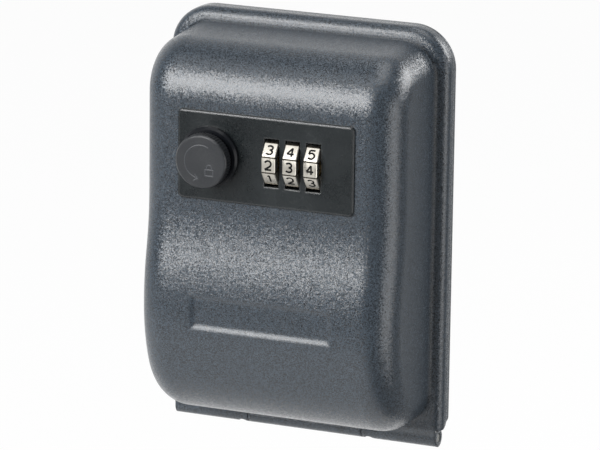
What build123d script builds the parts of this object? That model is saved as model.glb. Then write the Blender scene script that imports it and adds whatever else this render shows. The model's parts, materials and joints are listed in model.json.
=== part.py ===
"""Wall-mounted key lock box: a deep-drawn steel door hinged along its bottom edge on a steel back
plate, with a three-dial combination lock and a turning knob in the door.

Millimetres. +Z is up and +Y points into the wall. The origin lies on the wall plane, at the centre
of the four wall screws. Lengths named ..._height count up from the hinge axis, and lengths named
..._depth count out from the wall plane.
"""
from build123d import *
from math import atan, cos, pi, radians, sin, sqrt, tan
import os

os.makedirs("parts", exist_ok=True)

# --- Driving dimensions -------------------------------------------------------------------------
SHEET = 1.2                  # steel sheet of the door and of the back plate
GAP = 0.3                    # free air between pieces that pass each other
FIT = 0.05                   # radial clearance of a running fit
RUN_GAP = 0.1                # end float between pieces that turn or slide on each other
HINGE_DROP = 66.0            # wall screw centre down to the hinge axis

# Rim of the door: flat flange, rolled front edge and short skirt towards the wall
RIM_WIDTH = 92.0
RIM_HEIGHT = 130.5
RIM_CORNER = 13.3
RIM_ROLL = 3.0
FLANGE_DEPTH = 7.2
SKIRT_END_HEIGHT = 3.4
SKIRT_END_RADIUS = 4.0

# Drawn body of the door: side profile and its roundings
BODY_WIDTH = 84.0
BODY_ROUND = 10.3
BODY_LEDGE = 4.0             # top of the body below the top of the rim
BODY_BOTTOM_HEIGHT = 5.2
TOP_DRAFT = 2.5
BOTTOM_DRAFT = 1.0
FRONT_DEPTH = 39.6
BULGE_DEPTH = 43.5
SWEEP_GAP = 0.1              # front plate down to the S-shaped sweep that leads out to the bulge
SWEEP_BOTTOM_HEIGHT = 43.0
CHIN_START_HEIGHT = 42.5     # below this the bulge leans back towards the wall
CHIN_LEAN = 19.6
TOP_ROUND = 16.5
CHIN_ROUND = 55.0
BOTTOM_ROUND = 26.8
BODY_OVERLAP = 5.0           # how far the drawn form runs on behind the face of the flange
BEND_SHARE = 0.98            # bends of the sweep, as a share of the radius at which they would meet

# Sunk label field on the bulge
LABEL_WIDTH = 46.6
LABEL_TALL = 11.6
LABEL_HEIGHT = 43.7
LABEL_SINK = 0.7
LABEL_SLOPE = 25.0           # degrees between the edges of the field and the bulge

# Hinge along the bottom edge
HINGE_DEPTH = 3.2
PIN_RADIUS = 1.5
PIN_LENGTH = 87.6
PIN_CHAMFER = 0.3
KNUCKLE_RADIUS = 2.85
HINGE_WIDTH = 88.0
CENTRE_KNUCKLE = 38.0
LEAF_TOP_HEIGHT = 4.4        # where the hinge leaf leaves the flange
LEAF_BEND_HEIGHT = 1.2       # where the leaf's slope ends above the knuckle
LEAF_SLOPE_TOP = 3.4
LEAF_DIAGONAL = 0.5          # how much higher the back of a leaf bends than its front
NOTCH_RADIUS = 1.75          # round relief at the inner end of each door knuckle
NOTCH_SINK = 1.0

# Back plate
PLATE_INSET = 0.1            # edge of the back plate inside the rim of the door
LIP_CLEARANCE = 0.6          # upturned lip inside the skirt
LIP_DEPTH = 4.4
LIP_END_HEIGHT = 12.0
SCREW_SPACING_X = 52.0
SCREW_SPACING_Z = 60.0
SCREW_HOLE_RADIUS = 2.5
BEAD_BOTTOM_HEIGHT = 35.0    # two stiffening beads pressed out of the plate
BEAD_TOP_GAP = 4.0           # bead below the foot of the latch catch
BEAD_WIDTH = 9.0
BEAD_SINK = 1.4
BEAD_OFFSET = 12.0
BEAD_TAPER = 25.0
PLATE_CORNER = 3.0
PLATE_BEND_HEIGHT = 2.6      # where the plate starts to bend out to its knuckle
PLATE_DIAGONAL = 0.2

# Lock housing with its front plate
LOCK_DROP = 37.9             # lock's centre line below the top of the rim
BEZEL_WIDTH = 57.3
BEZEL_TALL = 27.9
BEZEL_PROUD = 1.0
BEZEL_CORNER = 1.5
BEZEL_CHAMFER = 0.45
BOX_SIDE_WALL = 1.75         # beyond the end of the dial spindle
BOX_TALL = 22.0
BOX_BACK_DEPTH = 23.5
BOX_CORNER = 1.0
BOX_CLEARANCE = 0.2          # box in the door's cut-out
COVER_SHEET = 1.0
COVER_EDGE = 0.6             # bevel round the back of the cover
COVER_CLEARANCE = 0.1
COVER_SCREW_INSET = 2.5      # screw centre inside the side and the top of the box
COVER_SCREW_RADIUS = 1.25
COVER_SCREW_LENGTH = 8.0     # depth of a screw's hole behind the cover
COVER_SCREW_SPARE = 0.3      # screw shorter than its hole
COVER_SCREW_CLEARANCE = 0.15
SCREW_HEAD_RADIUS = 2.2
SCREW_HEAD_TALL = 1.3
SCREW_HEAD_TAPER = 0.5       # narrower at the top of the head
SCREW_CROSS_LENGTH = 2.4
SCREW_CROSS_WIDTH = 0.6
SCREW_CROSS_DEPTH = 1.4      # of which half lies in the head

# Dials
DIAL_X = 2.15                # centre of the first dial
DIAL_PITCH = 6.78
DIAL_COUNT = 3
DIAL_FACETS = 10
DIAL_RADIUS = 7.9            # over the corners
DIAL_WIDTH = 4.45
DIAL_PROUD = 2.75            # front flat of a dial ahead of the front plate
DIAL_GROOVE = 0.35           # groove between two facets, width and depth
DIAL_CHAMFER = 0.2
WINDOW_WIDTH = 4.8
WINDOW_TALL = 15.0
WINDOW_WALL = 1.4
BAY_HALF_TALL = 9.2
DIAL_BORE = 5.0
KEY_DEPTH = 0.7
KEY_WIDTH = 1.2
NECK_RADIUS = 3.0
GATE_WIDTH = 2.2
GATE_DEPTH = 1.0
SPINDLE_RADIUS = 1.5
SPINDLE_END = 2.6            # spindle held in the housing at each end
SPINDLE_SEAT = 0.02          # radial room of the spindle in the housing
SPINDLE_CHAMFER = 0.2
WASHER_THICKNESS = 0.4
SPRING_SHEET = 0.3
SPRING_FINGER = 2.6
SPRING_BASE = 3.0            # strip that joins the fingers at the back
SPRING_FOOT = 2.0
SPRING_REACH = 1.5           # finger past the axis of the dials

# Knob, its shaft and the latch cam
KNOB_X = -17.85
KNOB_RADIUS = 8.35
KNOB_FACE = 7.5              # knob face in front of the front plate
KNOB_BAND = 3.9
KNOB_CHAMFER = 0.5
KNOB_FACE_WALL = 2.0         # solid metal in front of the end of the shaft
KNURL_COUNT = 56
KNURL_DEPTH = 0.28
KNOB_NECK_RADIUS = 6.6
COLLAR_RADIUS = 9.45
COLLAR_TALL = 1.9
COLLAR_BEVEL = 0.6
SHAFT_RADIUS = 3.0
SHAFT_SQUARE = 4.4
THREAD_RADIUS = 2.0
THREAD_PROUD = 1.0           # thread past the nut
SPACER_LENGTH = 2.8          # between the rear cover and the cam
SPACER_RADIUS = 4.7
CAM_SHEET = 1.8
CAM_TIP_ROUND = 2.0
CAM_REACH = 16.0
CAM_WIDTH = 7.0
CAM_EYE_RADIUS = 5.5
NUT_FLATS = 7.0
NUT_TALL = 2.6
NUT_FLANGE_REACH = 1.0
NUT_FLANGE_TALL = 0.6
LOBE_RADIUS = 4.2
LOBE_THICKNESS = 1.4
FENCE_TRAVEL = 1.5
FENCE_BEHIND = 2.5           # free room between the fence and the rear cover
FENCE_SHEET = 1.4
FENCE_TALL = 2.4
FENCE_TIP = 1.5
FENCE_TIP_REACH = 0.9        # tip past the axis of the dials
SHAFT_POCKET = 5.6

# Latch catch on the back plate
CATCH_WIDTH = 14.0
CATCH_SHEET = 1.5
CATCH_CLEARANCE = 0.6        # lip of the catch in front of the cam
CATCH_TOP = 22.7             # these three count up from the lock's centre line
CATCH_LIP = 11.8
CATCH_FOOT = 8.4
CATCH_BEND_OUTER = 2.0
CATCH_BEND_INNER = 0.5
RIVET_RADIUS = 1.6
RIVET_HEAD_RADIUS = 2.6
RIVET_HEAD_TALL = 0.9
RIVET_HEAD_TAPER = 0.5
RIVET_SUNK = 0.1             # tail below the back of the plate
RIVET_SPACING = 7.0

# Reset lever in the rear cover
RESET_X = 8.0
RESET_Z = -5.6               # below the lock's centre line
RESET_TRAVEL = 3.0
RESET_PLATE = 8.0
RESET_TALL = 3.6
RESET_SHEET = 1.2
RESET_RIM = 0.5              # cover beyond the slot, above and below, that holds the slide in
RESET_SPREAD = 0.4           # slide taller than its slot's place, above and below
RESET_FIT = 0.15
RESET_TAB = 2.6
RESET_TAB_PROUD = 3.2        # tab behind the rear cover
RESET_TAB_ROUND = 0.4

# --- Places worked out from them ----------------------------------------------------------------
HINGE_Z = -HINGE_DROP
HINGE_Y = -HINGE_DEPTH
LOCK_HEIGHT = RIM_HEIGHT - LOCK_DROP
LOCK_Z = HINGE_Z + LOCK_HEIGHT
BODY_TOP_HEIGHT = RIM_HEIGHT - BODY_LEDGE
SWEEP_TOP_HEIGHT = LOCK_HEIGHT - BEZEL_TALL / 2 - SWEEP_GAP
BEZEL_Y = -(FRONT_DEPTH + BEZEL_PROUD)
INNER_FRONT_Y = -(FRONT_DEPTH - SHEET)
DIAL_Y = BEZEL_Y - DIAL_PROUD + DIAL_RADIUS * cos(pi / DIAL_FACETS)
BOX_BACK_Y = -BOX_BACK_DEPTH
COVER_BACK_Y = BOX_BACK_Y + COVER_SHEET
KNOB_FACE_Y = BEZEL_Y - KNOB_FACE
LAST_DIAL_X = DIAL_X + (DIAL_COUNT - 1) * DIAL_PITCH
BAY_LEFT = DIAL_X - DIAL_WIDTH / 2 - GAP
NECK_LENGTH = DIAL_PITCH - DIAL_WIDTH - GAP
BAY_RIGHT = LAST_DIAL_X + DIAL_WIDTH / 2 + NECK_LENGTH + WASHER_THICKNESS + GAP
BOX_WIDTH = 2 * (BAY_RIGHT + SPINDLE_END + BOX_SIDE_WALL)
FENCE_FRONT_DEPTH = BOX_BACK_DEPTH + FENCE_BEHIND + FENCE_SHEET
CAM_FRONT_DEPTH = BOX_BACK_DEPTH - COVER_SHEET - RUN_GAP - SPACER_LENGTH - CAM_SHEET
RESET_TAB_DEPTH = BOX_BACK_DEPTH - COVER_SHEET - RESET_TAB_PROUD
FAR = 2 * RIM_HEIGHT         # reaches past every piece


def height(value):
    """Z of a height above the hinge axis."""
    return HINGE_Z + value


def side_face(points, radii=None):
    """Face in the YZ plane from (y, z) points, with one corner radius per point if given."""
    if radii is None:
        return Plane.YZ * make_face(Polyline(*points, close=True))
    return Plane.YZ * make_face(FilletPolyline(*points, radius=radii, close=True))


def prism_x(face, x_from, x_to):
    """Extrudes a face of the YZ plane from x_from to x_to."""
    return extrude(Pos(x_from, 0, 0) * face, x_to - x_from, dir=(1, 0, 0))


def block(x_from, x_to, y_from, y_to, z_from, z_to):
    """Box between six planes."""
    centre = Pos((x_from + x_to) / 2, (y_from + y_to) / 2, (z_from + z_to) / 2)
    return centre * Box(abs(x_to - x_from), abs(y_to - y_from), abs(z_to - z_from))


def rod_y(x, z, radius, y_from, y_to):
    """Cylinder along Y."""
    turned = Rot(90, 0, 0) * Cylinder(radius, abs(y_to - y_from))
    return Pos(x, (y_from + y_to) / 2, z) * turned


def rod_x(y, z, radius, x_from, x_to):
    """Cylinder along X."""
    turned = Rot(0, 90, 0) * Cylinder(radius, abs(x_to - x_from))
    return Pos((x_from + x_to) / 2, y, z) * turned


def stud_head(x, z, radius, taper, y_from, y_to):
    """Low cone of a screw's or rivet's head, widest at y_from."""
    turned = Rot(90 if y_to < y_from else -90, 0, 0) * Cone(radius, radius - taper, abs(y_to - y_from))
    return Pos(x, (y_from + y_to) / 2, z) * turned


def front_plate(width, tall, corner, y_front, y_back, x=0.0, z=0.0):
    """Rounded rectangle seen from the front, between two depths."""
    outline = RectangleRounded(width, tall, corner)
    return extrude(Plane((x, y_back, z), x_dir=(1, 0, 0), z_dir=(0, -1, 0)) * outline, y_back - y_front)


def hex_prism(x, z, flats, y_from, y_to):
    """Hexagonal prism along Y."""
    outline = RegularPolygon(flats / 2, 6, major_radius=False)
    return extrude(Plane((x, y_to, z), x_dir=(1, 0, 0), z_dir=(0, -1, 0)) * outline, y_to - y_from)


# --- Door ---------------------------------------------------------------------------------------
def body_profile():
    """Side profile of the drawn body, from its top edge round the front to its bottom edge."""
    inside = FLANGE_DEPTH - BODY_OVERLAP
    corner_top = BODY_TOP_HEIGHT - (FRONT_DEPTH - FLANGE_DEPTH) * tan(radians(TOP_DRAFT))
    back_top = BODY_TOP_HEIGHT + (FLANGE_DEPTH - inside) * tan(radians(TOP_DRAFT))
    back_bottom = BODY_BOTTOM_HEIGHT - (FLANGE_DEPTH - inside) * tan(radians(BOTTOM_DRAFT))
    half_rise = (SWEEP_TOP_HEIGHT - SWEEP_BOTTOM_HEIGHT) / 2
    step = BULGE_DEPTH - FRONT_DEPTH
    sweep_round = (half_rise ** 2 + (step / 2) ** 2) / step
    sweep_tangent = (step / 2) / sin(2 * atan(step / 2 / half_rise))
    chin_tangent = CHIN_ROUND * tan(radians(CHIN_LEAN / 2))
    chin_z = CHIN_START_HEIGHT - chin_tangent
    slope = tan(radians(CHIN_LEAN))
    rise = tan(radians(BOTTOM_DRAFT))
    chin_reach = BULGE_DEPTH - slope * chin_z - FLANGE_DEPTH
    bottom_z = (BODY_BOTTOM_HEIGHT + rise * chin_reach) / (1 - rise * slope)
    bottom_depth = BULGE_DEPTH - slope * (chin_z - bottom_z)
    points = [
        (-inside, height(back_top)),
        (-FRONT_DEPTH, height(corner_top)),
        (-FRONT_DEPTH, height(SWEEP_TOP_HEIGHT - sweep_tangent)),
        (-BULGE_DEPTH, height(SWEEP_BOTTOM_HEIGHT + sweep_tangent)),
        (-BULGE_DEPTH, height(chin_z)),
        (-bottom_depth, height(bottom_z)),
        (-inside, height(back_bottom)),
    ]
    bend = BEND_SHARE * sweep_round
    return side_face(points, [0, TOP_ROUND, bend, bend, CHIN_ROUND, BOTTOM_ROUND, 0])


def body_form(inset):
    """Solid drawn body, inset all over by the given amount."""
    face = body_profile()
    if inset:
        face = offset(face, -inset, kind=Kind.INTERSECTION)
    half = BODY_WIDTH / 2 - inset
    solid = prism_x(face, -half, half)
    back_y = solid.bounding_box().max.Y
    ends = [edge for edge in solid.edges() if abs(abs(edge.center().X) - half) < 1e-4]
    round_edges = [edge for edge in ends if edge.center().Y < back_y - 1e-4]
    return fillet(round_edges, BODY_ROUND - inset)


def rim_form(inset, y_back):
    """Solid rim, inset by the given amount: its front edge rolled outside, and bevelled inside just
    clear of the roll's inner radius. It runs on below the door."""
    half = RIM_WIDTH / 2 - inset
    top = height(RIM_HEIGHT) - inset
    bottom = height(-RIM_CORNER)
    corner = RIM_CORNER - inset
    y_front = -FLANGE_DEPTH + inset
    outline = FilletPolyline(
        (-half, bottom), (-half, top), (half, top), (half, bottom), radius=[0, corner, corner, 0], close=True
    )
    plane = Plane((0, y_back, 0), x_dir=(1, 0, 0), z_dir=(0, -1, 0))
    solid = extrude(plane * make_face(outline), y_back - y_front)
    front = [edge for edge in solid.edges() if abs(edge.center().Y - y_front) < 1e-4]
    edges = [edge for edge in front if edge.center().Z > bottom + 1e-4]
    if inset:
        return chamfer(edges, (2 - sqrt(2)) * (RIM_ROLL - inset))
    return fillet(edges, RIM_ROLL)


def label_field(inset):
    """What the sunk label field takes away from a form that is inset by the given amount."""
    start = 2 * LABEL_SINK
    slope = radians(LABEL_SLOPE)
    spread = start / tan(slope) + inset * tan(slope / 2)
    outline = Rectangle(LABEL_WIDTH + 2 * spread, LABEL_TALL + 2 * spread)
    front = -(BULGE_DEPTH - inset) - start
    plane = Plane((0, front, height(LABEL_HEIGHT)), x_dir=(1, 0, 0), z_dir=(0, 1, 0))
    funnel = extrude(plane * outline, start + 2 * LABEL_SINK, taper=90 - LABEL_SLOPE)
    return funnel - body_form(inset + LABEL_SINK)


def knuckle_ends():
    """The x ranges of the two door knuckles."""
    inner = CENTRE_KNUCKLE / 2 + GAP
    outer = HINGE_WIDTH / 2
    return [(-outer, -inner), (inner, outer)]


def door_leaf(x_from, x_to):
    """Hinge leaf that steps back from the flange and rolls into a knuckle."""
    front = -FLANGE_DEPTH
    knuckle_front = HINGE_Y - KNUCKLE_RADIUS
    leaf = side_face([
        (front, height(LEAF_TOP_HEIGHT)),
        (front, height(LEAF_SLOPE_TOP)),
        (knuckle_front, height(LEAF_BEND_HEIGHT)),
        (knuckle_front, height(0)),
        (knuckle_front + SHEET, height(0)),
        (knuckle_front + SHEET, height(LEAF_BEND_HEIGHT + LEAF_DIAGONAL)),
        (front + SHEET, height(LEAF_SLOPE_TOP + LEAF_DIAGONAL)),
        (front + SHEET, height(LEAF_TOP_HEIGHT)),
    ])
    solid = prism_x(leaf, x_from, x_to) + rod_x(HINGE_Y, HINGE_Z, KNUCKLE_RADIUS, x_from, x_to)
    inner_end = min(abs(x_from), abs(x_to)) * (1 if x_to > 0 else -1)
    notch_x = inner_end + (NOTCH_RADIUS + GAP) * (1 if x_to > 0 else -1)
    notch_z = HINGE_Z - KNUCKLE_RADIUS + NOTCH_SINK - NOTCH_RADIUS
    reach = 2 * KNUCKLE_RADIUS
    return solid - rod_y(notch_x, notch_z, NOTCH_RADIUS, HINGE_Y - reach, HINGE_Y + reach)


def door_shell():
    outer = body_form(0) + rim_form(0, -(SHEET + GAP)) - label_field(0)
    inner = body_form(SHEET) + rim_form(SHEET, SHEET) - label_field(SHEET)
    shell = outer - inner
    low = height(SKIRT_END_HEIGHT)
    shell -= block(-FAR, FAR, -FAR, FAR, -FAR, low)
    skirt_back = -(SHEET + GAP)
    corner_axis_y = skirt_back - SKIRT_END_RADIUS
    corner = block(-FAR, FAR, corner_axis_y, FAR, low - 1, low + SKIRT_END_RADIUS)
    corner -= rod_x(corner_axis_y, low + SKIRT_END_RADIUS, SKIRT_END_RADIUS, -FAR, FAR)
    shell -= corner
    clear = CENTRE_KNUCKLE / 2 + GAP
    shell -= block(-clear, clear, -FLANGE_DEPTH - 1, 0, low - 1, height(LEAF_TOP_HEIGHT))
    for x_from, x_to in knuckle_ends():
        shell += door_leaf(x_from, x_to)
    shell -= rod_x(HINGE_Y, HINGE_Z, PIN_RADIUS + FIT, -FAR, FAR)
    cut_w = BOX_WIDTH + 2 * BOX_CLEARANCE
    cut_h = BOX_TALL + 2 * BOX_CLEARANCE
    shell -= front_plate(cut_w, cut_h, BOX_CORNER, -FRONT_DEPTH - 3, INNER_FRONT_Y + 3, 0, LOCK_Z)
    return shell


# --- Back plate and what stays on the wall --------------------------------------------------------
def plate_outline(inset, low):
    """Outline of the back plate in the XZ plane, down to the given height."""
    half = RIM_WIDTH / 2 - inset
    top = height(RIM_HEIGHT) - inset
    corner = RIM_CORNER - inset
    points = [(-half, height(low)), (-half, top), (half, top), (half, height(low))]
    return make_face(FilletPolyline(*points, radius=[PLATE_CORNER, corner, corner, PLATE_CORNER], close=True))


def bead_outline(x, inset):
    """Upright slot outline of a stiffening bead, between the hinge and the catch."""
    bottom = height(BEAD_BOTTOM_HEIGHT)
    top = LOCK_Z + CATCH_FOOT - BEAD_TOP_GAP
    slot = SlotOverall(top - bottom - 2 * inset, BEAD_WIDTH - 2 * inset)
    return Pos(x, (bottom + top) / 2) * Rot(0, 0, 90) * slot


def back_plate():
    wall = Plane((0, 0, 0), x_dir=(1, 0, 0), z_dir=(0, -1, 0))
    low = KNUCKLE_RADIUS + 2 * GAP
    plate = extrude(wall * plate_outline(PLATE_INSET, low), SHEET)
    lip_inset = SHEET + LIP_CLEARANCE
    lip = extrude(wall * plate_outline(lip_inset, LIP_END_HEIGHT), LIP_DEPTH)
    lip -= extrude(wall * plate_outline(lip_inset + SHEET, LIP_END_HEIGHT - 20), LIP_DEPTH + 1)
    plate += lip
    bead_wall = SHEET * (1 / cos(radians(BEAD_TAPER)) - tan(radians(BEAD_TAPER)))
    for x in (-BEAD_OFFSET, BEAD_OFFSET):
        plate += extrude(wall * bead_outline(x, 0), SHEET + BEAD_SINK, taper=BEAD_TAPER)
        plate -= extrude(wall * bead_outline(x, bead_wall), BEAD_SINK, taper=BEAD_TAPER)
    knuckle_back = HINGE_Y + KNUCKLE_RADIUS
    leaf = side_face([
        (0, height(low + 2)),
        (0, height(PLATE_BEND_HEIGHT)),
        (knuckle_back, height(LEAF_BEND_HEIGHT)),
        (knuckle_back, height(0)),
        (knuckle_back - SHEET, height(0)),
        (knuckle_back - SHEET, height(LEAF_BEND_HEIGHT + PLATE_DIAGONAL)),
        (-SHEET, height(PLATE_BEND_HEIGHT + PLATE_DIAGONAL)),
        (-SHEET, height(low + 2)),
    ])
    half = CENTRE_KNUCKLE / 2
    plate += prism_x(leaf, -half, half)
    plate += rod_x(HINGE_Y, HINGE_Z, KNUCKLE_RADIUS, -half, half)
    plate -= rod_x(HINGE_Y, HINGE_Z, PIN_RADIUS + FIT, -FAR, FAR)
    for x in (-SCREW_SPACING_X / 2, SCREW_SPACING_X / 2):
        for z in (-SCREW_SPACING_Z / 2, SCREW_SPACING_Z / 2):
            plate -= rod_y(x, z, SCREW_HOLE_RADIUS, -FAR, FAR)
    for x in rivet_places():
        plate -= rod_y(x, rivet_z(), RIVET_RADIUS, -FAR, FAR)
    return plate


def hinge_pin():
    pin = rod_x(HINGE_Y, HINGE_Z, PIN_RADIUS, -PIN_LENGTH / 2, PIN_LENGTH / 2)
    return chamfer(pin.edges().filter_by(GeomType.CIRCLE), PIN_CHAMFER)


def rivet_places():
    return (KNOB_X - RIVET_SPACING / 2, KNOB_X + RIVET_SPACING / 2)


def rivet_z():
    return LOCK_Z + (CATCH_FOOT + CATCH_TOP - CATCH_SHEET) / 2


def latch_catch():
    """Bracket on the back plate: foot, arm and the lip that the cam goes behind."""
    lip_back = -(CAM_FRONT_DEPTH + CAM_SHEET + CATCH_CLEARANCE)
    top = LOCK_Z + CATCH_TOP
    foot = LOCK_Z + CATCH_FOOT
    low = LOCK_Z + CATCH_LIP
    points = [
        (-SHEET, foot),
        (-SHEET, top),
        (lip_back - CATCH_SHEET, top),
        (lip_back - CATCH_SHEET, low),
        (lip_back, low),
        (lip_back, top - CATCH_SHEET),
        (-SHEET - CATCH_SHEET, top - CATCH_SHEET),
        (-SHEET - CATCH_SHEET, foot),
    ]
    radii = [0, CATCH_BEND_OUTER, CATCH_BEND_OUTER, 0, 0, CATCH_BEND_INNER, CATCH_BEND_INNER, 0]
    half = CATCH_WIDTH / 2
    catch = prism_x(side_face(points, radii), KNOB_X - half, KNOB_X + half)
    for x in rivet_places():
        catch -= rod_y(x, rivet_z(), RIVET_RADIUS, -2 * (SHEET + CATCH_SHEET), 0)
    return catch


def catch_rivets():
    rivets = []
    head_back = -SHEET - CATCH_SHEET
    for x in rivet_places():
        rivet = rod_y(x, rivet_z(), RIVET_RADIUS, head_back, -RIVET_SUNK)
        top = head_back - RIVET_HEAD_TALL
        rivets.append(rivet + stud_head(x, rivet_z(), RIVET_HEAD_RADIUS, RIVET_HEAD_TAPER, head_back, top))
    return Compound(children=rivets)


# --- Lock housing ---------------------------------------------------------------------------------
def dial_centres():
    return [DIAL_X + index * DIAL_PITCH for index in range(DIAL_COUNT)]


def cover_screw_places():
    across = BOX_WIDTH / 2 - COVER_SCREW_INSET
    up = BOX_TALL / 2 - COVER_SCREW_INSET
    return [(x, LOCK_Z + z) for x in (-across, across) for z in (-up, up)]


def pocket_front_y():
    """Front of the pocket behind the dials and round the shaft, where the fence slides."""
    return -FENCE_FRONT_DEPTH - GAP


def lock_housing():
    flange = front_plate(BEZEL_WIDTH, BEZEL_TALL, BEZEL_CORNER, BEZEL_Y, -FRONT_DEPTH, 0, LOCK_Z)
    flange = chamfer(flange.faces().sort_by(Axis.Y)[0].edges(), BEZEL_CHAMFER)
    housing = flange + front_plate(BOX_WIDTH, BOX_TALL, BOX_CORNER, -FRONT_DEPTH, BOX_BACK_Y, 0, LOCK_Z)
    bay_front = BEZEL_Y + WINDOW_WALL
    housing -= block(
        BAY_LEFT, BAY_RIGHT, bay_front, BOX_BACK_Y, LOCK_Z - BAY_HALF_TALL, LOCK_Z + BAY_HALF_TALL
    )
    for x in dial_centres():
        half = WINDOW_WIDTH / 2
        housing -= block(
            x - half, x + half, BEZEL_Y - 1, bay_front, LOCK_Z - WINDOW_TALL / 2, LOCK_Z + WINDOW_TALL / 2
        )
    front = pocket_front_y()
    housing -= block(
        KNOB_X - SHAFT_POCKET, BAY_LEFT, front, BOX_BACK_Y, LOCK_Z - SHAFT_POCKET, LOCK_Z + SHAFT_POCKET
    )
    housing -= block(
        KNOB_X - FENCE_TALL, BAY_LEFT, front, BOX_BACK_Y, LOCK_Z + SHAFT_POCKET, LOCK_Z + BAY_HALF_TALL
    )
    housing -= rod_y(KNOB_X, LOCK_Z, SHAFT_RADIUS + FIT, BEZEL_Y - 1, front)
    slot_half = SPINDLE_RADIUS + SPINDLE_SEAT
    left = BAY_LEFT - SPINDLE_END
    right = BAY_RIGHT + SPINDLE_END
    housing -= block(left, right, DIAL_Y, BOX_BACK_Y, LOCK_Z - slot_half, LOCK_Z + slot_half)
    housing -= rod_x(DIAL_Y, LOCK_Z, slot_half, left, right)
    for x, z in cover_screw_places():
        housing -= rod_y(x, z, COVER_SCREW_RADIUS, BOX_BACK_Y - COVER_SCREW_LENGTH, BOX_BACK_Y)
    return housing


def lock_rear_cover():
    """Steel pan over the back of the lock; its open edge bears on the inside of the door."""
    width = BOX_WIDTH + 2 * (COVER_CLEARANCE + COVER_SHEET)
    tall = BOX_TALL + 2 * (COVER_CLEARANCE + COVER_SHEET)
    corner = BOX_CORNER + COVER_SHEET
    cover = front_plate(width, tall, corner, INNER_FRONT_Y, COVER_BACK_Y, 0, LOCK_Z)
    cover = chamfer(cover.faces().sort_by(Axis.Y)[-1].edges(), COVER_EDGE)
    cover -= front_plate(
        width - 2 * COVER_SHEET, tall - 2 * COVER_SHEET, BOX_CORNER, INNER_FRONT_Y - 1, BOX_BACK_Y, 0, LOCK_Z
    )
    cover -= rod_y(KNOB_X, LOCK_Z, SHAFT_RADIUS + GAP, BOX_BACK_Y - 1, 0)
    for x, z in cover_screw_places():
        cover -= rod_y(x, z, COVER_SCREW_RADIUS + COVER_SCREW_CLEARANCE, BOX_BACK_Y - 1, 0)
    return cover - block(
        RESET_X - RESET_TAB / 2 - GAP,
        RESET_X + RESET_TAB / 2 + RESET_TRAVEL + GAP,
        BOX_BACK_Y - 1,
        0,
        LOCK_Z + RESET_Z - RESET_TALL / 2 + RESET_RIM,
        LOCK_Z + RESET_Z + RESET_TALL / 2 - RESET_RIM,
    )


def cover_screws():
    screws = []
    for x, z in cover_screw_places():
        tip = BOX_BACK_Y - COVER_SCREW_LENGTH + COVER_SCREW_SPARE
        head_top = COVER_BACK_Y + SCREW_HEAD_TALL
        shank = rod_y(x, z, COVER_SCREW_RADIUS - FIT, tip, COVER_BACK_Y)
        head = stud_head(x, z, SCREW_HEAD_RADIUS, SCREW_HEAD_TAPER, COVER_BACK_Y, head_top)
        for turn in (0, 90):
            bar = Rot(0, turn, 0) * Box(SCREW_CROSS_LENGTH, SCREW_CROSS_DEPTH, SCREW_CROSS_WIDTH)
            head -= Pos(x, head_top, z) * bar
        screws.append(shank + head)
    return Compound(children=screws)


def reset_lever():
    """Slide inside the cover, with a tab that a finger moves to set a new code."""
    z = LOCK_Z + RESET_Z
    plate_x = RESET_X - RESET_TAB / 2
    y_back = BOX_BACK_Y - RUN_GAP
    slide_half = RESET_TALL / 2 + RESET_SPREAD
    plate_end = plate_x + RESET_PLATE
    lever = block(plate_x, plate_end, y_back - RESET_SHEET, y_back, z - slide_half, z + slide_half)
    half = RESET_TALL / 2 - RESET_RIM - RESET_FIT
    tab = block(plate_x, plate_x + RESET_TAB, y_back, -RESET_TAB_DEPTH, z - half, z + half)
    tab = fillet(tab.faces().sort_by(Axis.Y)[-1].edges(), RESET_TAB_ROUND)
    return lever + tab


# --- Dials ----------------------------------------------------------------------------------------
def dial_outline():
    """Ten flats with a small groove at each corner, as points round the dial's axis."""
    half_turn = pi / DIAL_FACETS
    flat = DIAL_RADIUS * cos(half_turn)
    half_flat = DIAL_RADIUS * sin(half_turn) - DIAL_GROOVE / 2
    points = []
    for index in range(DIAL_FACETS):
        middle = 2 * half_turn * index
        for side in (-half_flat, half_flat):
            points.append((flat * cos(middle) - side * sin(middle), flat * sin(middle) + side * cos(middle)))
        corner = middle + half_turn
        points.append(((DIAL_RADIUS - DIAL_GROOVE) * cos(corner), (DIAL_RADIUS - DIAL_GROOVE) * sin(corner)))
    return points


def dial_ring(x):
    """Number ring: a decagon outside, ten key notches inside."""
    plane = Plane((x - DIAL_WIDTH / 2, DIAL_Y, LOCK_Z), x_dir=(0, -1, 0), z_dir=(1, 0, 0))
    ring = extrude(plane * make_face(Polyline(*dial_outline(), close=True)), DIAL_WIDTH)
    ends = ring.faces().sort_by(Axis.X)
    ring = chamfer(ends[0].edges() + ends[-1].edges(), DIAL_CHAMFER)
    ring -= rod_x(DIAL_Y, LOCK_Z, DIAL_BORE, x - DIAL_WIDTH, x + DIAL_WIDTH)
    notch = Box(DIAL_WIDTH + 1, KEY_WIDTH + 2 * FIT, KEY_DEPTH + FIT + 1)
    for index in range(DIAL_FACETS):
        place = Pos(0, 0, DIAL_BORE + (KEY_DEPTH + FIT - 1) / 2)
        ring -= Pos(x, DIAL_Y, LOCK_Z) * Rot(360 / DIAL_FACETS * index, 0, 0) * place * notch
    return ring


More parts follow.
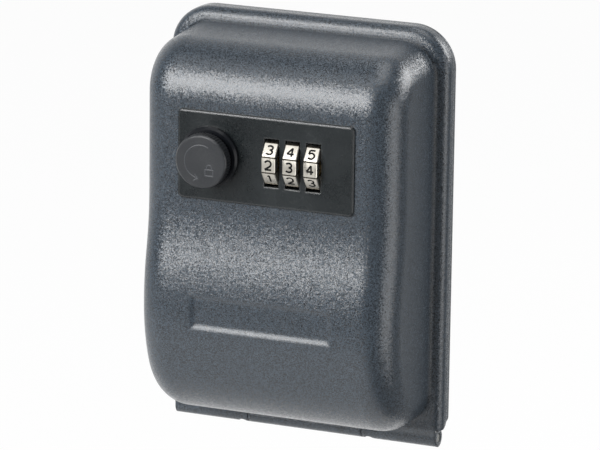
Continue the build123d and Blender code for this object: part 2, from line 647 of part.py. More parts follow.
def dial_hub(x):
    """Code hub inside a number ring, with a gate in its neck for the fence."""
    left = x - DIAL_WIDTH / 2
    right = x + DIAL_WIDTH / 2
    hub = rod_x(DIAL_Y, LOCK_Z, DIAL_BORE - FIT, left, right)
    key_z = LOCK_Z + DIAL_BORE - FIT
    hub += block(left, right, DIAL_Y - KEY_WIDTH / 2, DIAL_Y + KEY_WIDTH / 2, key_z - 1, key_z + KEY_DEPTH)
    hub += rod_x(DIAL_Y, LOCK_Z, NECK_RADIUS, right, right + NECK_LENGTH)
    gate_low = LOCK_Z + NECK_RADIUS - GATE_DEPTH
    gate_high = gate_low + 2 * GATE_DEPTH
    hub -= block(
        right, right + NECK_LENGTH + 1, DIAL_Y - GATE_WIDTH / 2, DIAL_Y + GATE_WIDTH / 2, gate_low, gate_high
    )
    return hub - rod_x(DIAL_Y, LOCK_Z, SPINDLE_RADIUS + FIT, left - 1, right + NECK_LENGTH + 1)


def dial_spindle():
    left = BAY_LEFT - SPINDLE_END + RUN_GAP
    right = BAY_RIGHT + SPINDLE_END - RUN_GAP
    spindle = rod_x(DIAL_Y, LOCK_Z, SPINDLE_RADIUS, left, right)
    return chamfer(spindle.edges().filter_by(GeomType.CIRCLE), SPINDLE_CHAMFER)


def spring_washer():
    """Washer that takes up the end play of the dials."""
    left = BAY_RIGHT - WASHER_THICKNESS
    washer = rod_x(DIAL_Y, LOCK_Z, NECK_RADIUS, left, BAY_RIGHT)
    return washer - rod_x(DIAL_Y, LOCK_Z, SPINDLE_RADIUS + FIT, left - 1, BAY_RIGHT + 1)


def detent_spring():
    """Leaf spring below the dials, one finger under each, on a ledge at the back of the bay."""
    top = LOCK_Z - DIAL_RADIUS - GAP
    low = top - SPRING_SHEET
    base_front = BOX_BACK_Y - SPRING_BASE
    spring = block(BAY_LEFT, BAY_RIGHT, base_front, BOX_BACK_Y, low, top)
    for x in dial_centres():
        half = SPRING_FINGER / 2
        spring += block(x - half, x + half, DIAL_Y - SPRING_REACH, base_front, low, top)
    for x in (BAY_LEFT, BAY_RIGHT - SPRING_FOOT):
        spring += block(x, x + SPRING_FOOT, base_front, BOX_BACK_Y, LOCK_Z - BAY_HALF_TALL, low)
    return spring


# --- Knob, shaft, fence and latch -----------------------------------------------------------------
def knurl_outline():
    """Fine straight knurl: a closed zigzag between two radii."""
    points = []
    for index in range(2 * KNURL_COUNT):
        radius = KNOB_RADIUS - (index % 2) * KNURL_DEPTH
        angle = pi / KNURL_COUNT * index
        points.append((radius * cos(angle), radius * sin(angle)))
    return Polyline(*points, close=True)


def neck_back_y():
    return BEZEL_Y - GAP


def shaft_front_y():
    return KNOB_FACE_Y + KNOB_FACE_WALL


def knob():
    front = Plane((KNOB_X, KNOB_FACE_Y + KNOB_BAND, LOCK_Z), x_dir=(1, 0, 0), z_dir=(0, -1, 0))
    cap_y = KNOB_FACE_Y + KNOB_CHAMFER
    solid = extrude(front * make_face(knurl_outline()), KNOB_BAND - KNOB_CHAMFER)
    solid += stud_head(KNOB_X, LOCK_Z, KNOB_RADIUS, KNOB_CHAMFER, cap_y, KNOB_FACE_Y)
    solid += rod_y(KNOB_X, LOCK_Z, KNOB_NECK_RADIUS, cap_y, neck_back_y())
    return solid - rod_y(KNOB_X, LOCK_Z, SHAFT_RADIUS, shaft_front_y(), 0)


def knob_collar():
    """Smooth collar on the front plate round the neck of the knob."""
    collar = rod_y(KNOB_X, LOCK_Z, COLLAR_RADIUS, BEZEL_Y - COLLAR_TALL, BEZEL_Y)
    collar = chamfer(collar.edges().group_by(Axis.Y)[0], COLLAR_BEVEL)
    return collar - rod_y(KNOB_X, LOCK_Z, KNOB_NECK_RADIUS + GAP, KNOB_FACE_Y, 0)


def knob_shaft():
    """Shaft from the knob to the latch, with the eccentric lobe that lifts the fence."""
    cam_front = -(CAM_FRONT_DEPTH + CAM_SHEET)
    shaft = rod_y(KNOB_X, LOCK_Z, SHAFT_RADIUS, shaft_front_y(), cam_front)
    offset_now = -FENCE_TRAVEL / 2
    lobe_front = -FENCE_FRONT_DEPTH
    lobe_back = lobe_front + LOBE_THICKNESS
    shaft += rod_y(KNOB_X + offset_now, LOCK_Z + offset_now, LOBE_RADIUS, lobe_front, lobe_back)
    square = SHAFT_SQUARE / 2
    shaft += block(
        KNOB_X - square, KNOB_X + square, cam_front, cam_front + CAM_SHEET, LOCK_Z - square, LOCK_Z + square
    )
    thread_back = -CAM_FRONT_DEPTH + NUT_TALL + THREAD_PROUD
    return shaft + rod_y(KNOB_X, LOCK_Z, THREAD_RADIUS, cam_front, thread_back)


def cam_spacer():
    """Bush between the rear cover and the cam."""
    front = COVER_BACK_Y + RUN_GAP
    back = -(CAM_FRONT_DEPTH + CAM_SHEET)
    bush = rod_y(KNOB_X, LOCK_Z, SPACER_RADIUS, front, back)
    return bush - rod_y(KNOB_X, LOCK_Z, SHAFT_RADIUS + FIT, front - 1, back + 1)


def latch_cam():
    """Flat latch arm: an eye on the shaft's square and a rounded tip, pointing left at rest."""
    front = -(CAM_FRONT_DEPTH + CAM_SHEET)
    back = front + CAM_SHEET
    half = CAM_WIDTH / 2
    cam = rod_y(KNOB_X, LOCK_Z, CAM_EYE_RADIUS, front, back)
    arm = block(KNOB_X - CAM_REACH, KNOB_X, front, back, LOCK_Z - half, LOCK_Z + half)
    tip = arm.edges().filter_by(Axis.Y).group_by(Axis.X)[0]
    cam += fillet(tip, CAM_TIP_ROUND)
    square = SHAFT_SQUARE / 2 + FIT
    return cam - block(
        KNOB_X - square, KNOB_X + square, front - 1, back + 1, LOCK_Z - square, LOCK_Z + square
    )


def cam_nut():
    front = -CAM_FRONT_DEPTH
    nut = hex_prism(KNOB_X, LOCK_Z, NUT_FLATS, front, front + NUT_TALL)
    flange = rod_y(KNOB_X, LOCK_Z, NUT_FLATS / 2 + NUT_FLANGE_REACH, front, front + NUT_FLANGE_TALL)
    return nut + flange - rod_y(KNOB_X, LOCK_Z, THREAD_RADIUS, front - 1, front + NUT_TALL + 1)


def fence_slide():
    """Comb behind the dials: its tips reach down over the gates, its arm rides on the lobe."""
    front = -FENCE_FRONT_DEPTH
    back = front + FENCE_SHEET
    low = LOCK_Z + LOBE_RADIUS - FENCE_TRAVEL / 2 + GAP
    top = low + FENCE_TALL
    left = KNOB_X - FENCE_TALL + GAP
    last_gap = LAST_DIAL_X + DIAL_WIDTH / 2 + NECK_LENGTH / 2
    fence = block(left, last_gap + FENCE_TIP / 2, front, back, low, top)
    for x in dial_centres():
        middle = x + DIAL_WIDTH / 2 + (NECK_LENGTH + GAP) / 2
        if x == dial_centres()[-1]:
            middle = last_gap
        tip_y = DIAL_Y - FENCE_TIP_REACH
        fence += block(middle - FENCE_TIP / 2, middle + FENCE_TIP / 2, tip_y, front, low, top)
    return fence


# --- Build ----------------------------------------------------------------------------------------
def build():
    nodes = {
        "back_plate": back_plate(),
        "hinge_pin": hinge_pin(),
        "latch_catch": latch_catch(),
        "catch_rivets": catch_rivets(),
        "door_shell": door_shell(),
        "lock_housing": lock_housing(),
        "lock_rear_cover": lock_rear_cover(),
        "cover_screws": cover_screws(),
        "knob_collar": knob_collar(),
        "dial_spindle": dial_spindle(),
        "dial_washer": spring_washer(),
        "detent_spring": detent_spring(),
        "fence_slide": fence_slide(),
        "reset_lever": reset_lever(),
        "knob": knob(),
        "knob_shaft": knob_shaft(),
        "cam_spacer": cam_spacer(),
        "latch_cam": latch_cam(),
        "cam_nut": cam_nut(),
    }
    for number, x in enumerate(dial_centres(), start=1):
        nodes[f"dial_ring_{number}"] = dial_ring(x)
        nodes[f"dial_hub_{number}"] = dial_hub(x)
    return nodes


for name, shape in build().items():
    export_step(shape, f"parts/{name}.step")
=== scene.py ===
"""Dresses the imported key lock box: materials, dial numbers, knob marks, camera and studio.

Lengths are in millimetres, which MM turns into metres, unless a comment says metres.
"""
import json
import math

import bpy
from mathutils import Matrix, Vector


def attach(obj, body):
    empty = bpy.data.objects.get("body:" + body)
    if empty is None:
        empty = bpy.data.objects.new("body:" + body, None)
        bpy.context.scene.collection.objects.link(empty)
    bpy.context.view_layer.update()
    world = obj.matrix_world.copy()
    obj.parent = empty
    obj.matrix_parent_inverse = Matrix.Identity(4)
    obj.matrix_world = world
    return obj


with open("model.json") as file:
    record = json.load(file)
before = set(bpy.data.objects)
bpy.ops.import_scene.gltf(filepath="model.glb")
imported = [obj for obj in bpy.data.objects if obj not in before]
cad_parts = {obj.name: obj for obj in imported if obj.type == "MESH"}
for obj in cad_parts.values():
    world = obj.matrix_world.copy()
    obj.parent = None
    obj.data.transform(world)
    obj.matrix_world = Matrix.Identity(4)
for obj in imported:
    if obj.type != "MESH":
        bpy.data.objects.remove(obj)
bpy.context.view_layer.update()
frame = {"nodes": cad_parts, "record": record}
MM = 0.001


def towards(azimuth, elevation):
    """Unit vector away from the object. Azimuth 0 is the front, and it grows to the right."""
    level = math.cos(elevation)
    return Vector((math.sin(azimuth) * level, -math.cos(azimuth) * level, math.sin(elevation)))


# --- Camera: the photograph's viewing angle ------------------------------------------------------
AZIMUTH = math.radians(21.89)
ELEVATION = math.radians(15.57)
ROLL = math.radians(0.71)
DISTANCE = 1351.26 * MM
AIM = Vector((3.17, -20.0, 2.25)) * MM
SENSOR_WIDTH = 36.0
FOCAL_PIXELS = 4409.99
FRAME_WIDTH = 600  # pixels
FRAME_HEIGHT = 450
CENTRE = (299.25, 224.96)  # where the lens's axis meets the frame, pixels from its top left
NEAREST = 0.01  # metres
FARTHEST = 50


def make_camera():
    data = bpy.data.cameras.new("camera")
    data.sensor_width = SENSOR_WIDTH
    data.lens = FOCAL_PIXELS * SENSOR_WIDTH / FRAME_WIDTH
    data.shift_x = (FRAME_WIDTH / 2 - CENTRE[0]) / FRAME_WIDTH
    data.shift_y = (CENTRE[1] - FRAME_HEIGHT / 2) / FRAME_WIDTH
    data.clip_start = NEAREST
    data.clip_end = FARTHEST
    camera = bpy.data.objects.new("camera", data)
    bpy.context.scene.collection.objects.link(camera)
    back = towards(AZIMUTH, ELEVATION)
    right = Vector((math.cos(AZIMUTH), math.sin(AZIMUTH), 0))
    up = back.cross(right)
    right_rolled = math.cos(ROLL) * right + math.sin(ROLL) * up
    up_rolled = -math.sin(ROLL) * right + math.cos(ROLL) * up
    place = Matrix.Translation(AIM + DISTANCE * back)
    turn = Matrix((right_rolled, up_rolled, back)).transposed().to_4x4()
    camera.matrix_world = place @ turn
    bpy.context.scene.camera = camera


make_camera()

# --- Sizes of the door and its lock, as in the CAD -----------------------------------------------
DIAL_COUNT = 3
FACETS = 10
DIAL_X = 2.15
DIAL_PITCH = 6.78
DIAL_RADIUS = 7.9  # at the corners between the facets
FRONT_DEPTH = 39.6
FLANGE_DEPTH = 7.2
BEZEL_PROUD = 1.0
DIAL_PROUD = 2.75
LOCK_Z = 26.6
KNOB_X = -17.85
KNOB_PROUD = 7.5
PLATE_Y = -(FRONT_DEPTH + BEZEL_PROUD)
FLAT = DIAL_RADIUS * math.cos(math.pi / FACETS)  # from a dial's axis to the middle of a facet
DIAL_Y = PLATE_Y - DIAL_PROUD + FLAT


# --- Node helpers --------------------------------------------------------------------------------
EDGE_SAMPLES = 4
FOOT_STEP = 0.05


def per_metre(size):
    """The scale of a pattern whose cells are this large."""
    return 1 / (size * MM)


class Nodes:
    """Short-hand for building a node tree."""

    def __init__(self, tree):
        self.tree = tree

    def node(self, kind, inputs=None, **settings):
        node = self.tree.nodes.new(kind)
        for key, value in settings.items():
            setattr(node, key, value)
        for key, value in (inputs or {}).items():
            self.put(node.inputs[key], value)
        return node

    def put(self, socket, value):
        if isinstance(value, bpy.types.NodeSocket):
            self.tree.links.new(value, socket)
        else:
            socket.default_value = value

    def math(self, kind, a, b=0.0):
        return self.node("ShaderNodeMath", {0: a, 1: b}, operation=kind).outputs[0]

    def dot(self, a, b):
        node = self.node("ShaderNodeVectorMath", {0: a, 1: b}, operation="DOT_PRODUCT")
        return node.outputs["Value"]

    def mix_shaders(self, factor, a, b):
        inputs = {0: factor, 1: a.outputs[0], 2: b.outputs[0]}
        return self.node("ShaderNodeMixShader", inputs).outputs[0]

    def backdrop_share(self, camera, gloss):
        """How much of the white backdrop a ray shows: seen straight, in gloss or through glass."""
        ray = self.node("ShaderNodeLightPath").outputs
        mirrored = self.math("MAXIMUM", ray["Is Glossy Ray"], ray["Is Transmission Ray"])
        straight = self.math("MULTIPLY", ray["Is Camera Ray"], camera)
        return self.math("MAXIMUM", straight, self.math("MULTIPLY", mirrored, gloss))


class Graph(Nodes):
    """A new material, with the patterns that the coats share."""

    def __init__(self, name):
        self.material = bpy.data.materials.new(name)
        self.material.use_nodes = True
        super().__init__(self.material.node_tree)
        self.shader = self.tree.nodes["Principled BSDF"]
        self.coords = self.tree.nodes.new("ShaderNodeTexCoord").outputs["Object"]

    def set(self, **values):
        for key, value in values.items():
            self.put(self.shader.inputs[key.replace("_", " ")], value)

    def noise(self, scale, detail=2.0, roughness=0.5, stretch=None):
        vector = self.coords
        if stretch:
            inputs = {"Vector": vector, "Scale": stretch}
            vector = self.node("ShaderNodeMapping", inputs).outputs[0]
        inputs = {"Vector": vector, "Scale": scale, "Detail": detail, "Roughness": roughness}
        return self.node("ShaderNodeTexNoise", inputs).outputs["Fac"]

    def grains(self, size):
        """A random colour for each small grain."""
        inputs = {"Vector": self.coords, "Scale": per_metre(size)}
        return self.node("ShaderNodeTexVoronoi", inputs).outputs["Color"]

    def ramp(self, value, low, high, to_low=0.0, to_high=1.0):
        inputs = {
            "Value": value, "From Min": low, "From Max": high, "To Min": to_low, "To Max": to_high,
        }
        return self.node("ShaderNodeMapRange", inputs).outputs["Result"]

    def mix(self, factor, a, b):
        inputs = {"Factor": factor, "A": a, "B": b}
        return self.node("ShaderNodeMix", inputs, data_type="RGBA").outputs["Result"]

    def part(self, vector, axis):
        return self.node("ShaderNodeSeparateXYZ", {"Vector": vector}).outputs[axis]

    def vector(self, kind, a, b):
        return self.node("ShaderNodeVectorMath", {0: a, 1: b}, operation=kind).outputs[0]

    def bump(self, height, distance, strength=1.0, normal=None):
        inputs = {"Height": height, "Strength": strength, "Distance": distance * MM}
        if normal:
            inputs["Normal"] = normal
        return self.node("ShaderNodeBump", inputs).outputs["Normal"]

    def lean(self, grains, tilt, normal):
        """Tilts each grain its own way, so that some catch the light and some don't."""
        centred = self.vector("SUBTRACT", grains, (0.5, 0.5, 0.5))
        leaning = self.vector("ADD", normal, self.vector("MULTIPLY", centred, (tilt, tilt, tilt)))
        node = self.node("ShaderNodeVectorMath", {0: leaning}, operation="NORMALIZE")
        return node.outputs[0]

    def facet_corner(self):
        """0 along the middle of each of a dial's facets, 1 at the corners between them."""
        half_facet = math.pi / FACETS
        place = self.node("ShaderNodeSeparateXYZ", {"Vector": self.coords}).outputs
        out = self.math("SUBTRACT", DIAL_Y * MM, place["Y"])
        up = self.math("SUBTRACT", place["Z"], LOCK_Z * MM)
        turned = self.math("PINGPONG", self.math("ARCTAN2", up, out), half_facet)
        return self.math("DIVIDE", turned, half_facet)

    def soft_edge(self, radius):
        """Normals that run smoothly round an edge, as a worn or moulded edge has them."""
        return self.node("ShaderNodeBevel", {"Radius": radius}, samples=EDGE_SAMPLES).outputs[0]

    def foot_radius(self, plain, bend):
        """The plain radius, widened to the bend's just in front of the door's flange, in metres.

        It rounds the foot of the drawn body, where the solid's corner is sharp.
        """
        depth = self.part(self.coords, "Y")
        near = self.ramp(depth, -(FLANGE_DEPTH + 2 * bend) * MM, -(FLANGE_DEPTH + bend) * MM)
        ahead = self.ramp(
            depth, -(FLANGE_DEPTH + FOOT_STEP) * MM, -(FLANGE_DEPTH - FOOT_STEP) * MM, 1.0, 0.0
        )
        share = self.math("MULTIPLY", near, ahead)
        return self.math("ADD", plain * MM, self.math("MULTIPLY", share, (bend - plain) * MM))


def rgba(colour, factor=1.0):
    """An opaque linear colour, made darker or lighter by a factor."""
    return tuple(factor * value for value in colour) + (1.0,)


# --- Materials -----------------------------------------------------------------------------------
MIDDLE = (0.3, 0.7)  # the range that most of a noise's values lie in
SLATE = (0.072, 0.094, 0.12)
SLATE_TONE = 0.4
SLATE_LIGHT = 2.0 * SLATE_TONE
SLATE_DARK = 0.05 * SLATE_TONE
SLATE_PATCHES = 30.0  # noise scale, per metre
SLATE_GLOSS_SPREAD = 0.05
BLACK_SPECKLE = 0.6
BLACK_PATCHES = 60.0
BLACK_WEAR = (0.3, 0.75)
BLACK_GLOSSIER = 0.04
BLACK_ROUGHER = 0.05
FACING_FLAT = 0.998  # cosine between the rounded and the true normal, off an edge and on it
FACING_EDGE = 0.99
POLISH_ROUGHNESS = 0.1
METAL_LINES = 900.0
METAL_LINE_DEPTH = 0.004
METAL_LINE_STRENGTH = 0.6
METAL_STAINS = 220.0
METAL_STAINED = (0.35, 0.75)
METAL_STAIN_SHARE = 0.9
METAL_GLOSSIER = 0.07
METAL_ROUGHER = 0.09
# Painted shade: the base colour darkens towards the grooves at the corners between a dial's facets.
GROOVE_SHADE_START = 0.86
GROOVE_SHADE_FULL = 0.95
GROOVE_PAINTED_SHADE = rgba((0.06, 0.05, 0.035))
CROWN = 0.12
PAINT_SPOTS = 2500.0
PAINT_LIGHTER = 1.6
KNOB_TONE = 0.45
NICKEL_TONE = 0.84


def powder_coat(name, base, light, dark, grain, depth, tilt, slow, edge, bend, roughness, specular):
    """Fine textured powder coat: small grains that glint, over a slow unevenness of tone."""
    g = Graph(name)
    grains = g.grains(grain)
    waves = g.noise(per_metre(grain), detail=1.0)
    patches = g.noise(SLATE_PATCHES, detail=3.0, roughness=0.55)
    tone = g.mix(g.part(grains, "X"), dark, light)
    rough, glossy = roughness + SLATE_GLOSS_SPREAD, roughness - SLATE_GLOSS_SPREAD
    rounded = g.soft_edge(g.foot_radius(edge, bend))
    g.set(
        Base_Color=g.mix(g.ramp(patches, *MIDDLE, 0.0, slow), tone, base),
        Roughness=g.ramp(g.part(grains, "Y"), 0.0, 1.0, rough, glossy),
        Normal=g.lean(grains, tilt, g.bump(waves, depth, normal=rounded)),
        Specular_IOR_Level=specular,
    )
    return g.material


def satin_black(
    name, base, worn, roughness, specular, grain=0.35, depth=0.01, tilt=0.0, edge=0.0, polish=0.0
):
    """Black plastic or paint: fine grain, an uneven gloss, and edges that catch the light."""
    g = Graph(name)
    fine = g.noise(per_metre(grain))
    patches = g.noise(BLACK_PATCHES, detail=3.0, roughness=0.6)
    grains = g.grains(grain)
    tone = g.mix(g.ramp(patches, *BLACK_WEAR), base, worn)
    smooth = g.soft_edge(edge * MM) if edge else None
    normal = g.bump(fine, depth, normal=smooth)
    g.set(
        Base_Color=g.mix(g.math("MULTIPLY", g.part(grains, "X"), BLACK_SPECKLE), tone, worn),
        Roughness=g.ramp(patches, *MIDDLE, roughness - BLACK_GLOSSIER, roughness + BLACK_ROUGHER),
        Normal=g.lean(grains, tilt, normal) if tilt else normal,
        Specular_IOR_Level=specular,
    )
    if polish:
        facing = g.dot(smooth, g.node("ShaderNodeNewGeometry").outputs["Normal"])
        g.set(
            Coat_Weight=g.ramp(facing, FACING_FLAT, FACING_EDGE, 0.0, polish),
            Coat_Normal=smooth,
            Coat_Roughness=POLISH_ROUGHNESS,
        )
    return g.material


def plated(name, base, stain, roughness, stretch=(1, 1, 1), facets=False):
    """Plated or bare metal: fine drawn lines, a little staining, and painted shade in the dials'
    grooves.
    """
    g = Graph(name)
    lines = g.noise(METAL_LINES, stretch=stretch)
    stains = g.noise(METAL_STAINS, detail=4.0, roughness=0.65)
    tone = g.mix(g.ramp(stains, *METAL_STAINED, 0.0, METAL_STAIN_SHARE), base, stain)
    normal = g.bump(lines, METAL_LINE_DEPTH, METAL_LINE_STRENGTH)
    if facets:
        corner = g.facet_corner()
        # Painted shade in the grooves between the facets.
        tone = g.mix(g.ramp(corner, GROOVE_SHADE_START, GROOVE_SHADE_FULL), tone, GROOVE_PAINTED_SHADE)
        crown = g.math("MULTIPLY", corner, g.math("MULTIPLY", corner, -1.0))
        normal = g.bump(crown, CROWN, normal=normal)
    g.set(
        Base_Color=tone,
        Roughness=g.ramp(lines, *MIDDLE, roughness - METAL_GLOSSIER, roughness + METAL_ROUGHER),
        Normal=normal,
        Metallic=1.0,
    )
    return g.material


def plain_coat(name, colour, roughness, specular):
    """The paint of the dials' numbers: a little uneven."""
    g = Graph(name)
    spots = g.ramp(g.noise(PAINT_SPOTS, roughness=0.6), *MIDDLE)
    g.set(
        Base_Color=g.mix(spots, rgba(colour), rgba(colour, PAINT_LIGHTER)),
        Roughness=roughness,
        Specular_IOR_Level=specular,
    )
    return g.material


FINISH = {
    "slate_coat": powder_coat(
        "slate_coat", rgba(SLATE, SLATE_TONE), rgba(SLATE, SLATE_LIGHT), rgba(SLATE, SLATE_DARK),
        grain=0.23, depth=0.035, tilt=0.25, slow=0.3, edge=1.2, bend=3.0,
        roughness=0.16, specular=0.6,
    ),
    "lock_black": satin_black(
        "lock_black", rgba((0.004, 0.0055, 0.0065)), rgba((0.014, 0.0175, 0.019)),
        roughness=0.24, specular=0.36, grain=0.3, depth=0.012, tilt=0.16, edge=0.7, polish=1.0,
    ),
    "knob_dark": satin_black(
        "knob_dark", rgba((0.03, 0.034, 0.041), KNOB_TONE), rgba((0.05, 0.054, 0.06), KNOB_TONE),
        roughness=0.3, specular=0.5, grain=0.4, depth=0.015, tilt=0.1, edge=0.55,
    ),
    "lever_black": satin_black(
        "lever_black", rgba((0.02, 0.02, 0.02)), rgba((0.03, 0.03, 0.03)),
        roughness=0.5, specular=0.4,
    ),
    "dial_nickel": plated(
        "dial_nickel", rgba((0.72, 0.69, 0.62), NICKEL_TONE), rgba((0.5, 0.47, 0.41), NICKEL_TONE),
        roughness=0.3, stretch=(1, 0.15, 0.15), facets=True,
    ),
    "brass_hub": plated(
        "brass_hub", rgba((0.66, 0.48, 0.2)), rgba((0.45, 0.31, 0.13)), roughness=0.32
    ),
    "zinc_steel": plated(
        "zinc_steel", rgba((0.6, 0.6, 0.58)), rgba((0.5, 0.49, 0.44)), roughness=0.36
    ),
    "spring_steel": plated(
        "spring_steel", rgba((0.42, 0.43, 0.45)), rgba((0.3, 0.3, 0.32)), roughness=0.35
    ),
}
collar_black = satin_black(
    "collar_black", rgba((0.005, 0.006, 0.008)), rgba((0.008, 0.009, 0.011)),
    roughness=0.25, specular=0.2,
)
number_black = plain_coat("number_black", (0.004, 0.004, 0.004), roughness=0.6, specular=0.1)
mark_dark = satin_black(
    "mark_dark", rgba((0.035, 0.038, 0.044)), rgba((0.05, 0.054, 0.06)),
    roughness=0.3, specular=0.5,
)

slots = {entry["node"]: entry["material_slot"] for entry in frame["record"]["subparts"]}
for name, obj in frame["nodes"].items():
    obj.data.materials.clear()
    obj.data.materials.append(collar_black if name == "knob_collar" else FINISH[slots[name]])


# --- Strokes: numbers and marks made of flattened tubes ------------------------------------------
STROKE_ROUNDNESS = 3  # bevel resolution
SHARP = math.radians(40)


def arc(cx, cy, rx, ry, start, end, steps=14):
    """Points of an elliptic arc, degrees counted anticlockwise from +x."""
    angles = [math.radians(start + (end - start) * i / steps) for i in range(steps + 1)]
    return [(cx + rx * math.cos(angle), cy + ry * math.sin(angle)) for angle in angles]


def scaled(lines, wide=1.0, tall=1.0):
    """The lines in metres, with this width and height for a length of 1."""
    return [[(x * wide * MM, y * tall * MM) for x, y in line] for line in lines]


def split_at_corners(line):
    """Cuts a line where it turns sharply, because a bevelled line thins at a sharp corner."""
    pieces = [[line[0]]]
    for before, point, after in zip(line, line[1:], line[2:]):
        pieces[-1].append(point)
        ahead, behind = Vector(after) - Vector(point), Vector(point) - Vector(before)
        if ahead.angle(behind, 0) > SHARP:
            pieces.append([point])
    pieces[-1].append(line[-1])
    return pieces


def strokes(name, lines, place, width, proud, material):
    """Flat strokes along lines in place's XY plane, standing proud along its Z, all in metres."""
    data = bpy.data.curves.new(name, "CURVE")
    data.dimensions = "3D"
    data.bevel_depth = width / 2
    data.bevel_resolution = STROKE_ROUNDNESS
    data.use_fill_caps = True
    for line in [piece for whole in lines for piece in split_at_corners(whole)]:
        spline = data.splines.new("POLY")
        spline.points.add(len(line) - 1)
        for point, (x, y) in zip(spline.points, line):
            point.co = (x, y, 0, 1)
    curve = bpy.data.objects.new(name + "_curve", data)
    bpy.context.scene.collection.objects.link(curve)
    bpy.context.view_layer.update()
    mesh = bpy.data.meshes.new_from_object(curve)
    mesh.name = name
    bpy.data.objects.remove(curve)
    flat = Matrix.Diagonal((1, 1, proud / (width / 2), 1))
    mesh.transform(place @ flat)
    mesh.materials.append(material)
    for face in mesh.polygons:
        face.use_smooth = True
    obj = bpy.data.objects.new(name, mesh)
    bpy.context.scene.collection.objects.link(obj)
    return obj


# --- Dial numbers --------------------------------------------------------------------------------
FIRST_DIGIT = 2  # at the front of the first dial; each next dial shows one more
DIGIT_TALL = 2.75
DIGIT_WIDE = 2.7
DIGIT_STROKE = 0.6
DIGIT_PROUD = 0.035
DIGITS = {
    "0": [arc(0, 0.25, 0.36, 0.25, 0, 180) + arc(0, -0.25, 0.36, 0.25, 180, 360) + [(0.36, 0.25)]],
    "1": [[(-0.16, 0.3), (0.06, 0.5), (0.06, -0.5)]],
    "2": [
        arc(0, 0.2, 0.36, 0.3, 165, 0) + arc(-0.04, 0.2, 0.4, 0.42, -5, -48)
        + [(-0.38, -0.5), (0.4, -0.5)]
    ],
    "3": [arc(-0.02, 0.255, 0.34, 0.245, 150, -90), arc(-0.02, -0.245, 0.37, 0.255, 90, -150)],
    "4": [[(0.16, -0.5), (0.16, 0.5), (-0.4, -0.2), (0.42, -0.2)]],
    "5": [[(0.34, 0.5), (-0.28, 0.5), (-0.34, 0.04)] + arc(-0.02, -0.16, 0.37, 0.34, 140, -145)],
    "6": [arc(0.02, 0.0, 0.39, 0.5, 70, 200) + arc(0, -0.2, 0.36, 0.3, 180, 540, 22)],
    "7": [[(-0.36, 0.5), (0.38, 0.5), (-0.08, -0.5)]],
    "8": [arc(0, 0.26, 0.31, 0.24, 0, 360, 20), arc(0, -0.25, 0.36, 0.25, 0, 360, 20)],
    "9": [arc(-0.02, 0.0, 0.39, 0.5, -110, 20) + arc(0, 0.2, 0.36, 0.3, 0, 360, 22)],
}


def facet_place(x, turn_degrees):
    """Plane on a facet: X along the lock's X, Y up the facet, Z out of it."""
    turn = math.radians(turn_degrees)
    out = Vector((0, -math.cos(turn), math.sin(turn)))
    up = Vector((0, math.sin(turn), math.cos(turn)))
    centre = Vector((x, DIAL_Y, LOCK_Z)) * MM + out * (FLAT * MM)
    basis = Matrix((Vector((1, 0, 0)), up, out)).transposed().to_4x4()
    return Matrix.Translation(centre) @ basis


for dial in range(DIAL_COUNT):
    for step in range(FACETS):
        digit = str((FIRST_DIGIT + dial + step) % 10)
        piece = strokes(
            f"dial_{dial + 1}_number_{digit}", scaled(DIGITS[digit], DIGIT_WIDE, DIGIT_TALL),
            facet_place(DIAL_X + dial * DIAL_PITCH, step * 360 / FACETS),
            DIGIT_STROKE * MM, DIGIT_PROUD * MM, number_black,
        )
        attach(piece, f"dial_{dial + 1}")

# --- Turn arrow and padlock on the knob's face ---------------------------------------------------
MARK_STROKE = 0.36
MARK_PROUD = 0.09
MARKS = {
    "knob_turn_arrow": [
        arc(0, 0, 5.2, 5.2, 62, 262, 30),
        [(-1.9, -3.9), (-0.72, -5.15), (-2.3, -6.0)],
    ],
    "knob_padlock": [
        [(1.5, -4.1), (4.1, -4.1), (4.1, -2.2), (1.5, -2.2), (1.5, -4.1)],
        [(2.0, -2.2), (2.0, -1.5)] + arc(2.8, -1.5, 0.8, 0.8, 180, 0, 10) + [(3.6, -2.2)],
    ],
}
knob_centre = Vector((KNOB_X, PLATE_Y - KNOB_PROUD, LOCK_Z)) * MM
knob_axes = Matrix((Vector((1, 0, 0)), Vector((0, 0, 1)), Vector((0, -1, 0))))
knob_face = Matrix.Translation(knob_centre) @ knob_axes.transposed().to_4x4()
for mark, lines in MARKS.items():
    piece = strokes(
        mark, scaled(lines), knob_face, MARK_STROKE * MM, MARK_PROUD * MM, mark_dark
    )
    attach(piece, "knob_latch")

# --- Studio --------------------------------------------------------------------------------------
WHITE = rgba((1, 1, 1))
SKY = rgba((0.95, 0.98, 1.0))
SKY_STRENGTH = 0.18
BACKDROP_AZIMUTH = -140  # degrees, as are the two half angles below
BACKDROP_CORE = 30
BACKDROP_EDGE = 62
ROOM_GLOSS = 0.15
FLOOR_SHARE = 0.96
FLOOR_GLOSS = 0.6
FLOOR_GRAIN = 400.0
FLOOR_DARKER = rgba((0.86, 0.86, 0.86))
FLOOR_LIGHTER = rgba((0.9, 0.9, 0.9))
FLOOR_LEFT = -2  # metres, as are the next four
FLOOR_RIGHT = 0.12
FLOOR_FRONT = -0.8
FLOOR_BACK = 2.5
FLOOR_HEIGHT = -0.3
# Azimuth and elevation, distance in metres, half width and half height in degrees, radiance.
LAMPS = {
    "key": (-28, 22, 1.0, 19.4, 18, 9.6),
    "right": (80, -6, 1.0, 19, 22, 2.3),
    "back": (133, 24, 1.2, 22, 15, 6),
    "top": (117, 83, 1.2, 27, 12, 2.6),
    "fill": (-22, 60, 1.3, 20, 15, 1.4),
}


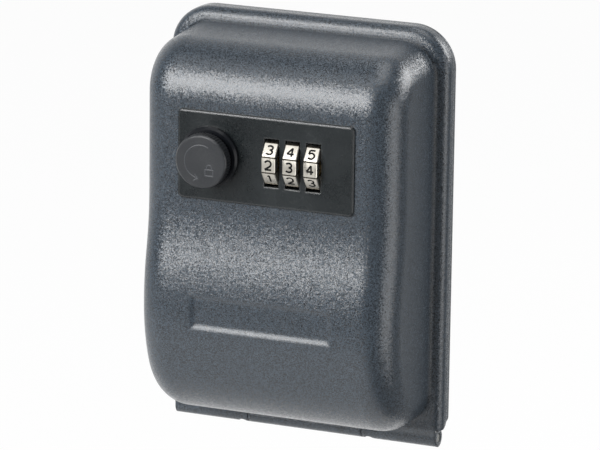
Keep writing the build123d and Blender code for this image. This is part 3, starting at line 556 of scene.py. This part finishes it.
def make_world():
    """White to the camera. In gloss, white on one side and a dim room on the others.

    The light on the object is softer and even.
    """
    world = bpy.data.worlds.new("studio")
    world.use_nodes = True
    g = Nodes(world.node_tree)
    g.tree.nodes.clear()
    backdrop = g.node("ShaderNodeBackground", {"Color": WHITE, "Strength": 1.0})
    sky = g.node("ShaderNodeBackground", {"Color": SKY, "Strength": SKY_STRENGTH})
    direction = g.node("ShaderNodeTexCoord").outputs["Generated"]
    spread = g.node("ShaderNodeMapRange", {
        "Value": g.dot(direction, towards(math.radians(BACKDROP_AZIMUTH), 0)),
        "From Min": math.cos(math.radians(BACKDROP_EDGE)),
        "From Max": math.cos(math.radians(BACKDROP_CORE)),
        "To Min": ROOM_GLOSS,
    }, interpolation_type="SMOOTHSTEP")
    share = g.backdrop_share(1.0, spread.outputs["Result"])
    g.node("ShaderNodeOutputWorld", {"Surface": g.mix_shaders(share, sky, backdrop)})
    bpy.context.scene.world = world


def make_floor():
    """Pale floor below the wall-mounted box: white to the camera, with the object's shadow kept."""
    mesh = bpy.data.meshes.new("floor")
    corners = [
        (FLOOR_LEFT, FLOOR_FRONT, 0), (FLOOR_RIGHT, FLOOR_FRONT, 0),
        (FLOOR_RIGHT, FLOOR_BACK, 0), (FLOOR_LEFT, FLOOR_BACK, 0),
    ]
    mesh.from_pydata(corners, [], [(0, 1, 2, 3)])
    floor = bpy.data.objects.new("floor", mesh)
    floor.location = (0, 0, FLOOR_HEIGHT)
    bpy.context.scene.collection.objects.link(floor)
    g = Graph("floor_white")
    g.tree.nodes.remove(g.shader)
    tone = g.mix(g.noise(FLOOR_GRAIN), FLOOR_DARKER, FLOOR_LIGHTER)
    diffuse = g.node("ShaderNodeBsdfDiffuse", {"Color": tone})
    glow = g.node("ShaderNodeEmission", {"Color": WHITE, "Strength": 1.0})
    surface = g.mix_shaders(g.backdrop_share(FLOOR_SHARE, FLOOR_GLOSS), diffuse, glow)
    g.put(g.tree.nodes["Material Output"].inputs["Surface"], surface)
    floor.data.materials.append(g.material)


def lamp(name, azimuth, elevation, distance, half_width, half_height, radiance):
    """Soft box that the object sees at these angles and in this size."""
    data = bpy.data.lights.new(name, "AREA")
    data.shape = "RECTANGLE"
    data.size = 2 * distance * math.tan(math.radians(half_width))
    data.size_y = 2 * distance * math.tan(math.radians(half_height))
    data.energy = radiance * math.pi * data.size * data.size_y
    obj = bpy.data.objects.new(name, data)
    bpy.context.scene.collection.objects.link(obj)
    away = towards(math.radians(azimuth), math.radians(elevation))
    obj.location = AIM + distance * away
    obj.rotation_euler = away.to_track_quat("Z", "Y").to_euler()


make_world()
make_floor()
for name, settings in LAMPS.items():
    lamp(name, *settings)

bpy.context.scene.view_settings.view_transform = "Standard"
